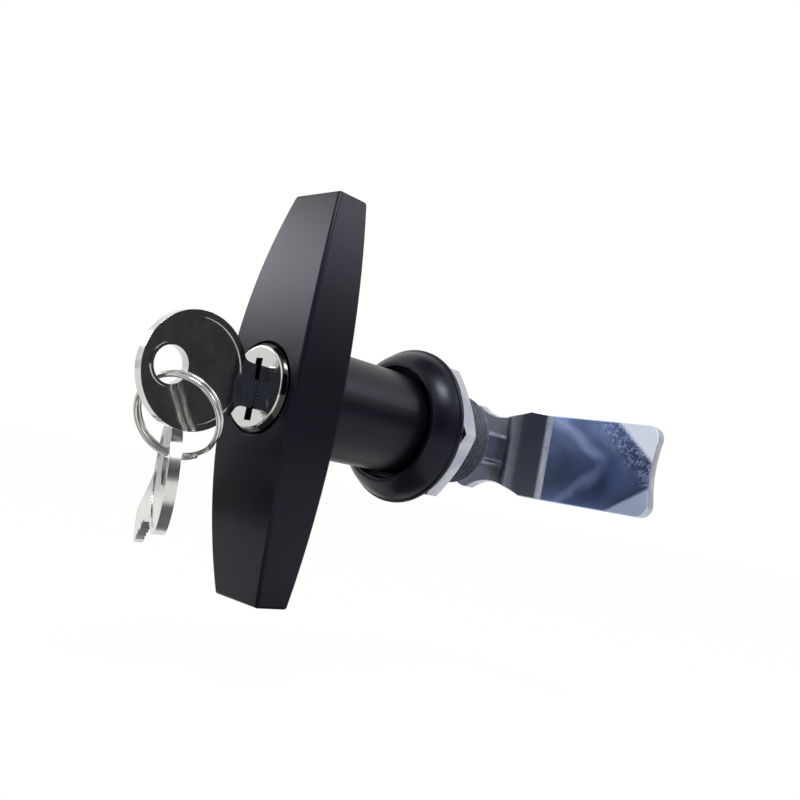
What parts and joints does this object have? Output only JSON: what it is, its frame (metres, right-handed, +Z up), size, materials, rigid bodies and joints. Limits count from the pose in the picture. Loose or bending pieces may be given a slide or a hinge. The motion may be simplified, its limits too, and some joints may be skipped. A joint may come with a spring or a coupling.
{
  "type": "t-handle cabinet lock",
  "caption": "Quarter-turn T-handle lock for a sheet-metal door: black handle with key plug, threaded barrel with nut, cranked cam, keys on a split ring.",
  "frame": {"origin": "on the lock's axis, in the plane of the gasket's back face, which is the panel seat", "axes": "+Y along the lock's axis into the cabinet, +Z up along the T bar, +X along the cam"},
  "size_m": [0.0868, 0.1143, 0.0864],
  "materials": {
    "black_powder": "satin powder coat",
    "gasket_rubber": "matt",
    "zinc_plate": "zinc plated",
    "bright_zinc": "bright zinc plated",
    "nickel": "polished nickel",
    "brass": "as stamped",
    "spring_steel": "plain",
    "steel_pin": "ground"
  },
  "bodies": {
    "base": {"base_housing": "black_powder", "panel_gasket": "gasket_rubber", "mounting_nut": "zinc_plate"},
    "handle": {"handle": "black_powder", "stop_pin": "steel_pin", "stem_o_ring": "gasket_rubber", "thrust_washer": "zinc_plate", "retaining_ring": "spring_steel", "spindle": "zinc_plate", "spindle_pin": "steel_pin", "cam": "bright_zinc", "cam_washer": "zinc_plate", "spring_washer": "spring_steel", "cam_bolt": "zinc_plate"},
    "plug": {"plug_cap": "nickel", "plug": "zinc_plate", "wafers": "brass", "wafer_springs": "spring_steel", "plug_latch": "brass", "plug_latch_spring": "spring_steel", "drive_pin": "steel_pin"},
    "lock_bolt": {"lock_bolt": "steel_pin"},
    "key": {"key": "nickel"},
    "ring": {"split_ring": "nickel"},
    "spare": {"spare_key": "nickel"}
  },
  "joints": [
    {"name": "handle_turn", "type": "hinge", "parent": "base", "child": "handle", "pos_m": [0, 0, 0], "axis": [0, 1, 0], "range_deg": [0, 90]},
    {"name": "key_turn", "type": "hinge", "parent": "handle", "child": "plug", "pos_m": [0, -0.0465, 0], "axis": [0, 1, 0], "range_deg": [0, 90]},
    {"name": "lock_bolt_slide", "type": "slide", "parent": "handle", "child": "lock_bolt", "axis": [1, 0, 0], "range_m": [0, 0.0024]},
    {"name": "key_slide", "type": "slide", "parent": "plug", "child": "key", "axis": [0, -1, 0], "range_m": [0, 0.03]},
    {"name": "ring_swing", "type": "hinge", "parent": "key", "child": "ring", "pos_m": [0, -0.0678, 0], "axis": [1, 0, 0], "range_deg": [-75, 0]},
    {"name": "spare_key_swing", "type": "hinge", "parent": "ring", "child": "spare", "pos_m": [-0.00362, -0.0605, -0.01886], "axis": [0.4281, 0.9019, 0.0578], "range_deg": [-75, 0]}
  ],
  "couplings": [
    {"joint": "lock_bolt_slide", "follows": "key_turn", "m_per_rad": 0.0015279}
  ]
}
